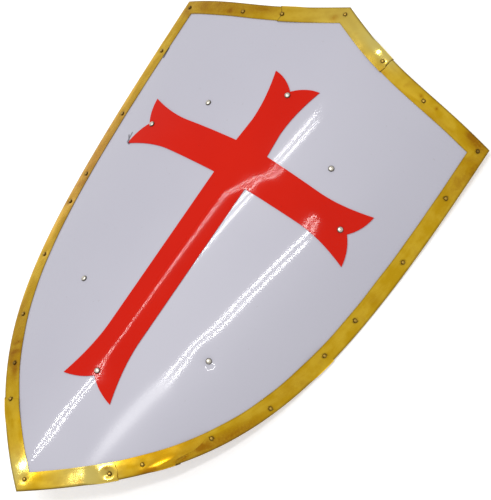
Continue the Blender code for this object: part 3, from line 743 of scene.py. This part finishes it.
# The hollow round one rivet of the tip
BOWL_PLACE, BOWL_INSET, BOWL_RADIUS, BOWL_DEPTH = 0.155 * TO_EAR, 0.0092, 0.0066, 0.0013
# The inner edge wavers, as the shears did: how far, over what length, from which share of the width
WAVER, WAVER_LENGTH, WAVER_FROM = 0.0006, 0.045, 0.8
SWELL_SLICE, WAVER_SLICE = 5.0, 2.0         # so that the two noises differ


def relief(distance, inset, place, width, nearby):
    """Rise of the front of a strip: it swells between rivets and is pulled down beside them."""
    wave = noise.noise(Vector((distance / SWELL_LENGTH, inset / SWELL_BREADTH, SWELL_SLICE)))
    rise = SWELL * (0.5 + wave) * math.sin(math.pi * min(max(inset / width, 0), 1))
    for rivet in nearby:
        rise -= RIVET_PULL * math.exp(-((place - rivet).length / RIVET_PULL_REACH) ** 2)
    for along, reach, height, tilt_from, tilt_to in LEANS:
        near = fade(((distance - along) / reach) ** 2)
        rise += height * near * smooth((tilt_to - inset) / (tilt_to - tilt_from))
    bowl = math.hypot((distance - BOWL_PLACE) / BOWL_RADIUS, (inset - BOWL_INSET) / BOWL_RADIUS)
    return rise - BOWL_DEPTH * (1 - bowl ** 2) * math.exp(-bowl ** 2)


def wavered(distance, inset, width):
    """Inset moved as the hand-cut inner edge wavers."""
    share = max(0.0, (inset / width - WAVER_FROM) / (1 - WAVER_FROM))
    return inset + noise.noise(Vector((distance / WAVER_LENGTH, 0.0, WAVER_SLICE))) * WAVER * share


# %% Grime and painted shade on the strips: where it lies, how wide, and how dark
# Rivet rings and the inner edge get grime and painted shade; the fold gets painted shade, as if it mirrored a
# shadowed floor
RING_RADIUS, RING_WIDTH, RING_GRIME_AND_SHADE = 0.0026, 0.0007, 0.9
LIP_WIDTH, LIP_GRIME_AND_SHADE = 0.0008, 0.45
FOLD_WIDTH, FOLD_START, FOLD_INSET, FOLD_PAINTED_SHADE = 0.0003, 0.00014, 0.002, 0.75
CUT_WIDTH = 0.0015


def grime_and_shade_at(place, inset, height, width, nearby):
    """Grime with painted shade in a ring round each rivet and along the inner edge, and painted shade on the
    fold.
    """
    gaps = [(place - rivet).length for rivet in nearby]
    ring = max((math.exp(-((gap - RING_RADIUS) / RING_WIDTH) ** 2) for gap in gaps), default=0.0)
    lip = max(0.0, 1 - abs(inset - width) / LIP_WIDTH)
    fold = min(1.0, max(0.0, (RIM_FRONT - height + FOLD_START) / FOLD_WIDTH)) if inset < FOLD_INSET else 0.0
    return RING_GRIME_AND_SHADE * ring + LIP_GRIME_AND_SHADE * lip + FOLD_PAINTED_SHADE * fold


def cut_dirt(from_start, from_end, start_over, end_over):
    from_start = 1 - from_start / CUT_WIDTH if start_over else 0.0
    from_end = 1 - from_end / CUT_WIDTH if end_over else 0.0
    return max(0.0, from_start, from_end)


# %% A strip
RIVET_REACH = 0.012          # how far from a rivet the brass shows it


def rim_strip(start, end, width, start_over, end_over, start_cut, end_cut, dark_cut):
    stations = strip_stations(start, end, start_over, end_over)
    count = len(strip_section(width, 0))
    rivets = [rim_place(*rivet) for rivet in rim_rivets]
    bm = bmesh.new()
    strip_map = bm.loops.layers.uv.new("strip")
    stain_and_shade, polish_and_sheen, grime_and_shade = [bm.verts.layers.float.new(name) for name in ("stain_and_shade", "polish_and_sheen", "grime_and_shade")]
    bmesh.ops.create_grid(bm, x_segments=len(stations) - 1, y_segments=count, size=1)
    flat = {}
    for vert in bm.verts:
        column = round((vert.co.x + 1) / 2 * (len(stations) - 1))
        row = round((vert.co.y + 1) / 2 * count) % count
        distance = stations[column]
        inset, height = strip_section(width, strip_lift(distance, start, end, start_over, end_over))[row]
        flat[vert] = (distance, inset)
        vert[stain_and_shade] = painted(STAINS_AND_SHADE, distance, inset)
        vert[polish_and_sheen] = min(1.0, painted(POLISH_AND_SHEEN, distance, inset))
        from_start, from_end = distance - start, end - distance
        front = height > 0
        if front:
            share = min(1.0, max(0.0, inset / width))
            distance += cut_at(end_cut, share) * max(0.0, 1 - from_end / CUT_SETTLE)
            distance -= cut_at(start_cut, share) * max(0.0, 1 - from_start / CUT_SETTLE)
        place = rim_place(distance, wavered(distance, inset, width))
        nearby = [rivet for rivet in rivets if (place - rivet).length < RIVET_REACH]
        dark = grime_and_shade_at(place, inset, height, width, nearby)
        vert[grime_and_shade] = min(1.0, dark + dark_cut * cut_dirt(from_start, from_end, start_over, end_over))
        if front:
            height += relief(distance, inset, place, width, nearby)
        vert.co = formed(place.x, place.y, height)
    for face in bm.faces:
        for loop in face.loops:
            loop[strip_map].uv = flat[loop.vert]
    bmesh.ops.remove_doubles(bm, verts=bm.verts, dist=1e-6)
    bmesh.ops.holes_fill(bm, edges=[edge for edge in bm.edges if edge.is_boundary], sides=0)
    return bm


# %% The six strips
for name, strip in STRIPS.items():
    made = piece(rim_strip(*strip), "brass_" + name, name, brass)
    print(made.name, len(made.data.polygons), "faces")

# %% [markdown]
# A rivet is turned: its half outline is spun round its axis. The brass ones are small and domed.
# The steel ones are larger, and those that hold the straps end on a washer at the back.

# %% Steel, and the brass of the rivets
STEEL_TONES = (0.60, 0.56, 0.47, 1), (0.76, 0.72, 0.64, 1)
STEEL_GRIME_AND_SHADE_TONE = (0.10, 0.09, 0.07, 1)
RIVET_BRASS_TONES = (0.46, 0.28, 0.04, 1), (0.64, 0.42, 0.09, 1)
RIVET_BRASS_GRIME_AND_SHADE_TONE = (0.085, 0.040, 0.008, 1)
WEAR_DEPTH = 0.00006


def worn_metal(name, tones, grime_and_shade_tone, grain_size, roughness):
    """Metal worn unevenly by hand, darkened where the attribute says: grime, and painted shade round the edge
    of a rivet head.
    """
    finish = Finish(name, Metallic=1.0)
    worn = finish.grain(grain_size, detail=3.0)
    grime_and_shade = finish.attribute("grime_and_shade")
    # Darker where the attribute says: grime, and painted shade round the edge of a rivet head
    tone = finish.mix(finish.mix(*tones, worn), grime_and_shade_tone, grime_and_shade)
    finish.use(tone, roughness + worn * 0.2 + grime_and_shade * 0.3, worn, WEAR_DEPTH)
    return finish


steel = worn_metal("steel", STEEL_TONES, STEEL_GRIME_AND_SHADE_TONE, grain_size=0.0016, roughness=0.24)
rivet_brass = worn_metal("rivet_brass", RIVET_BRASS_TONES, RIVET_BRASS_GRIME_AND_SHADE_TONE,
                         grain_size=0.0014, roughness=0.26)

# %% Turned shapes
TURN_STEPS = 24
DOME_STEPS = 7
HEAD_EDGE = 0.15             # upright edge of a head, as a share of its height
# Grime and painted shade are thickest at this share of the head's radius
FULL_GRIME_AND_SHADE = 0.92            # share of the head's radius where its grime is thickest


def turned(profile):
    """Solid of revolution about Z from (radius, height) points."""
    bm = bmesh.new()
    verts = [bm.verts.new((radius, 0, height)) for radius, height in profile]
    edges = [bm.edges.new(pair) for pair in zip(verts, verts[1:])]
    bmesh.ops.spin(bm, geom=verts + edges, cent=(0, 0, 0), axis=(0, 0, 1), angle=2 * math.pi,
                   steps=TURN_STEPS, use_merge=True)
    bmesh.ops.remove_doubles(bm, verts=bm.verts, dist=1e-6)
    return bm


def dome(radius, height, foot, sign):
    """Half outline of a domed head: a short upright edge and a round top."""
    edge = height * HEAD_EDGE
    turns = [math.pi / 2 * step / DOME_STEPS for step in range(DOME_STEPS + 1)]
    round_top = [(radius * math.sin(turn), foot + sign * (edge + (height - edge) * math.cos(turn)))
                 for turn in turns]
    return round_top + [(radius, foot)]


def rivet(head_radius, head_height, shank_radius, tail_radius, tail_height, top, bottom, grime_and_shade_from):
    """Rivet whose head darkens from this share of its radius outwards: grime, and painted shade round the
    edge of the dome.
    """
    head = dome(head_radius, head_height, top, 1)
    tail = dome(tail_radius, tail_height, bottom, -1)
    bm = turned(head + [(shank_radius, top), (shank_radius, bottom)] + tail[::-1])
    grime_and_shade = bm.verts.layers.float.new("grime_and_shade")
    for vert in bm.verts:
        radius = math.hypot(vert.co.x, vert.co.y)
        vert[grime_and_shade] = max(0.0, min(1.0, (radius / head_radius - grime_and_shade_from) / (FULL_GRIME_AND_SHADE - grime_and_shade_from)))
    return bm


# %% Brass rivets
# Head radius and height, shank radius, tail radius and height
BRASS_RIVET = (0.0025, 0.0015, 0.0010, 0.0018, 0.0007)
HEAD_SINK = 0.0001           # heads are set this far into the brass
TARNISHED = (11, 15, 22)     # these heads are dark right over
# Heads darken from this share of their radius outwards: grime, with painted shade round the edge of the dome;
# tarnished heads darken right over
GRIME_AND_SHADE_FROM, TARNISHED_FROM = 0.35, -0.8

for number, (distance, inset) in enumerate(rim_rivets, start=1):
    lift = 0.0
    for start, end, _, start_over, end_over, *_ in STRIPS.values():
        for turn in (-1, 0, 1):
            here = distance + turn * 2 * TO_PEAK
            if start < here < end:
                lift = max(lift, strip_lift(here, start, end, start_over, end_over))
    made = rivet(*BRASS_RIVET, RIM_FRONT + lift - HEAD_SINK, -RIM_BACK - lift,
                 TARNISHED_FROM if number in TARNISHED else GRIME_AND_SHADE_FROM)
    bmesh.ops.transform(made, matrix=surface_frame(*rim_place(distance, inset)), verts=made.verts)
    piece(made, f"brass_rivet_{number:02d}", f"rim_rivet_{number:02d}", rivet_brass)

# %% Steel rivets and washers
STEEL_RIVET = (0.0037, 0.0024, 0.0016, 0.0028, 0.0010)
# Steel heads darken from this share of their radius outwards: grime, with painted shade round the edge of the
# dome
CROSS_GRIME_AND_SHADE_FROM, STRAP_GRIME_AND_SHADE_FROM = 0.74, 0.70
STRAP_SEAT = 0.0005
STRAP_THICKNESS = 0.003
WASHER_BORE, WASHER_RADIUS, WASHER_THICKNESS, WASHER_SOFT = 0.0019, 0.0055, 0.0010, 0.0002

for name, (turn, (length, *_, notch), notch_to_rivet) in ARMS.items():
    place = on_cross(Vector((length - notch - notch_to_rivet, 0)), turn)
    made = rivet(*STEEL_RIVET, CROSS_THICKNESS + 2 * SHEET_GAP, -PLATE_THICKNESS - SHEET_GAP,
                 CROSS_GRIME_AND_SHADE_FROM)
    bmesh.ops.transform(made, matrix=surface_frame(*place), verts=made.verts)
    piece(made, "steel_rivet_cross_" + name, "cross_rivet_" + name, steel)

washer_top = -PLATE_THICKNESS - STRAP_SEAT - STRAP_THICKNESS - SHEET_GAP
washer_low = washer_top - WASHER_THICKNESS
washer_inside = WASHER_RADIUS - WASHER_SOFT
washer_profile = [(WASHER_BORE, washer_top), (WASHER_BORE, washer_low), (washer_inside, washer_low),
                  (WASHER_RADIUS, washer_low + WASHER_SOFT), (WASHER_RADIUS, washer_top - WASHER_SOFT),
                  (washer_inside, washer_top), (WASHER_BORE, washer_top)]
for name, place in FIELD_RIVETS.items():
    made = rivet(*STEEL_RIVET, SHEET_GAP, washer_low - SHEET_GAP, STRAP_GRIME_AND_SHADE_FROM)
    bmesh.ops.transform(made, matrix=surface_frame(*place), verts=made.verts)
    piece(made, "steel_rivet_strap_" + name, "strap_rivet_" + name, steel)
    made = turned(washer_profile)
    bmesh.ops.transform(made, matrix=surface_frame(*place), verts=made.verts)
    piece(made, "steel_washer_" + name, "strap_washer_" + name, steel)

# %% [markdown]
# The two straps on the back are vegetable-tanned leather. Each leaves the plate near its rivets, so
# that an arm can pass under it. A strap is cut as a long flat bar, its edges are rounded, and it is
# laid along its path. The maker's crease along each edge is three close cuts, the middle one pressed in.

# %% Leather
LEATHER_TONES = (0.105, 0.045, 0.018, 1), (0.215, 0.105, 0.046, 1)
PORE_TONE = (0.045, 0.020, 0.010, 1)
EDGE_TONE = (0.055, 0.024, 0.012, 1)
PORE_SIZE, WRINKLE_SIZE = 0.0012, 0.012
WRINKLE_DEPTH = 0.00025

leather = Finish("leather")
pores = leather.grain(PORE_SIZE, detail=4.0, roughness=0.6)
wrinkles = leather.grain(WRINKLE_SIZE, detail=3.0)
edge = leather.attribute("edge")
tone = leather.mix(*LEATHER_TONES, wrinkles.step(0.35, 0.65))
tone = leather.mix(tone, PORE_TONE, pores.step(0.56, 0.70) * 0.7)
tone = leather.mix(tone, EDGE_TONE, edge * 0.8)
leather.use(tone, 0.46 + wrinkles * 0.2 - edge * 0.12, wrinkles * 0.5 + pores, WRINKLE_DEPTH)

# %% The straps
STRAP_WIDTH = 0.025
STRAP_RISE = 0.038
STRAP_TAB = 0.014
STRAP_FLAT_TAB = 0.012
STRAP_RAMP = 0.070
STRAP_CORNER = 0.008
STRAP_EDGE = 0.0007          # the edges are rounded this far in
STRAP_CREASE = 0.0025        # from each edge
STRAP_CREASE_HALF_WIDTH, STRAP_CREASE_DEPTH = 0.0006, 0.0003
STRAP_CELL = 0.003
DARK_EDGE, DARK_EDGE_FADE = 0.0004, 0.002
SLOPE_STEP = 0.001           # to each side, to see how steep the strap's path is
NEXT_TO_NOTHING = 0.0001


def strap_drop(along, span):
    t = min(max((min(along, span - along) - STRAP_FLAT_TAB) / STRAP_RAMP, 0), 1)
    return STRAP_RISE * (1 - math.cos(math.pi * t)) / 2


def round_over(bm, edges, radius, segments):
    bmesh.ops.bevel(bm, geom=edges, offset=radius, offset_type="OFFSET", segments=segments, profile=0.5,
                    affect="EDGES", material=-1)


def strap(top_place, bottom_place):
    top, bottom = formed(*top_place, 0), formed(*bottom_place, 0)
    top_turn = top_place[0] / bend_radius(top_place[1])
    bottom_turn = bottom_place[0] / bend_radius(bottom_place[1])
    span = (top - bottom).length
    upward = (top - bottom).normalized()
    bm = bmesh.new()
    bmesh.ops.create_cube(bm, size=1)
    bmesh.ops.scale(bm, vec=(span + 2 * STRAP_TAB, STRAP_WIDTH, STRAP_THICKNESS), verts=bm.verts)
    bmesh.ops.translate(bm, vec=(span / 2, 0, -STRAP_THICKNESS / 2), verts=bm.verts)
    corners = [edge for edge in bm.edges if abs((edge.verts[0].co - edge.verts[1].co).normalized().z) > 0.9]
    round_over(bm, corners, STRAP_CORNER, 5)
    round_over(bm, [edge for edge in bm.edges if edge.calc_face_angle(0) > SHARP], STRAP_EDGE, 3)
    half = STRAP_WIDTH / 2
    lengthwise, crosswise = Vector((1, 0, 0)), Vector((0, 1, 0))
    cuts = [(side * (half - STRAP_CREASE + shift) * crosswise, crosswise)
            for side in (-1, 1) for shift in (-STRAP_CREASE_HALF_WIDTH, 0, STRAP_CREASE_HALF_WIDTH)]
    cuts.append((Vector((0, 0, 0)), crosswise))
    first, last = math.ceil(-STRAP_TAB / STRAP_CELL), math.ceil((span + STRAP_TAB) / STRAP_CELL)
    cuts += [(index * STRAP_CELL * lengthwise, lengthwise) for index in range(first, last)]
    for place, normal in cuts:
        bmesh.ops.bisect_plane(bm, geom=bm.verts[:] + bm.edges[:] + bm.faces[:], dist=1e-6,
                               plane_co=place, plane_no=normal)
    edge_mark = bm.verts.layers.float.new("edge")
    for vert in bm.verts:
        along, aside, depth = vert.co
        rim_gap = half - abs(aside)
        from_face = min(abs(depth), abs(depth + STRAP_THICKNESS))
        creased = max(abs(rim_gap - STRAP_CREASE), from_face) < NEXT_TO_NOTHING
        dark = creased or rim_gap < DARK_EDGE
        vert[edge_mark] = 1.0 if dark else max(0.0, 1 - rim_gap / DARK_EDGE_FADE) * 0.6
        if creased:
            depth += -STRAP_CREASE_DEPTH if depth > -STRAP_THICKNESS / 2 else STRAP_CREASE_DEPTH
        drop = strap_drop(along, span)
        fall = strap_drop(along + SLOPE_STEP, span) - strap_drop(along - SLOPE_STEP, span)
        slope = Vector((2 * SLOPE_STEP, -fall)).normalized()
        share = drop / STRAP_RISE / 2
        turn = bottom_turn + (top_turn - bottom_turn) * (share if along < span / 2 else 1 - share)
        across = Vector((math.cos(turn), 0, -math.sin(turn)))
        outward = Vector((math.sin(turn), 0, math.cos(turn)))
        upper = bottom + upward * along - outward * (PLATE_THICKNESS + STRAP_SEAT + drop)
        vert.co = upper + across * aside - depth * (upward * slope.y - outward * slope.x)
    return bm


for side in ("left", "right"):
    made = piece(strap(FIELD_RIVETS[side + "_top"], FIELD_RIVETS[side + "_bottom"]), "leather_strap_" + side,
                 "strap_" + side, leather)
    print(made.name, len(made.data.polygons), "faces")

# %% [markdown]
# The shield lies face up on a pale floor under an even white sky, which gives the soft light. Two pairs
# of long thin tubes overhead make the twin lines of light on the enamel: their places were worked out
# from where those lines fall. The camera's place was fitted to the outline, the rivets and the cross.

# %% Floor
FLOOR_TONES = (0.91, 0.91, 0.91, 1), (0.93, 0.93, 0.93, 1)
FLOOR_GLOW = 0.34
FLOOR_HALF_WIDTH = 6
FLOOR_CLOUD_SIZE = 0.3

floor_finish = Finish("floor", Roughness=0.9, Emission_Color=(1, 1, 1, 1), Emission_Strength=FLOOR_GLOW)
floor_finish.use(floor_finish.mix(*FLOOR_TONES, floor_finish.grain(FLOOR_CLOUD_SIZE)))
bm = bmesh.new()
bmesh.ops.create_grid(bm, x_segments=4, y_segments=4, size=FLOOR_HALF_WIDTH)
floor_mesh = bpy.data.meshes.new("floor")
bm.to_mesh(floor_mesh)
bm.free()
floor_mesh.materials.append(floor_finish.material)
floor = bpy.data.objects.new("floor", floor_mesh)
bpy.context.scene.collection.objects.link(floor)

# %% Sky
SKY_STRENGTH = 0.65

world = bpy.data.worlds.new("white_room")
world.use_nodes = True
sky = world.node_tree.nodes["Background"]
sky.inputs["Color"].default_value = (1.0, 1.0, 1.0, 1)
sky.inputs["Strength"].default_value = SKY_STRENGTH
bpy.context.scene.world = world
bpy.context.scene.view_settings.view_transform = "Standard"


# %% Tubes, in the shield's own frame
TUBE_HEIGHT = 1.6
# Each pair lies along x = slope * y + start, from one y to another
TUBE_LINES = ((0.4877, -0.8667, -0.138, 1.000), (0.6625, -0.1007, -0.080, 0.676))
TUBE_APART = 0.066
TUBE_WIDTH = 0.022
TUBE_RADIANCE = 48.0
UPWARD = Vector((0, 0, 1))


def tube(name, middle, along, length):
    """Thin flat lamp that faces down."""
    light = bpy.data.lights.new(name, "AREA")
    light.shape = "RECTANGLE"
    light.size, light.size_y = length, TUBE_WIDTH
    light.energy = TUBE_RADIANCE * math.pi * length * TUBE_WIDTH
    made = bpy.data.objects.new(name, light)
    turn = Matrix((along, UPWARD.cross(along), UPWARD)).transposed().to_4x4()
    made.matrix_world = RESTING_PLACE @ Matrix.Translation(middle) @ turn
    made.visible_camera = False
    bpy.context.scene.collection.objects.link(made)


for number, (slope, start, low, high) in enumerate(TUBE_LINES):
    ends = [Vector((slope * y + start, y, TUBE_HEIGHT)) for y in (low, high)]
    run = (ends[1] - ends[0]).normalized()
    aside = Vector((run.y, -run.x, 0))
    for side in (-0.5, 0.5):
        middle = (ends[0] + ends[1]) / 2 + aside * TUBE_APART * side
        tube(f"tube_{number}_{side}", middle, run, (ends[1] - ends[0]).length)

# %% Camera
CAMERA_PLACE = Vector((0.63048, 0.20595, 1.22562))
CAMERA_RIGHT = Vector((0.7814, 0.5586, -0.2783))
CAMERA_UP = Vector((-0.4675, 0.8193, 0.3320))
LENS, SENSOR_WIDTH = 82.948, 36         # millimetres
CLIP_END = 50

camera_data = bpy.data.cameras.new("camera")
camera_data.lens = LENS
camera_data.sensor_width = SENSOR_WIDTH
camera_data.clip_end = CLIP_END
camera = bpy.data.objects.new("camera", camera_data)
turn = Matrix((CAMERA_RIGHT, CAMERA_UP, CAMERA_RIGHT.cross(CAMERA_UP))).transposed().to_4x4()
camera.matrix_world = RESTING_PLACE @ Matrix.Translation(CAMERA_PLACE) @ turn
bpy.context.scene.collection.objects.link(camera)
bpy.context.scene.camera = camera
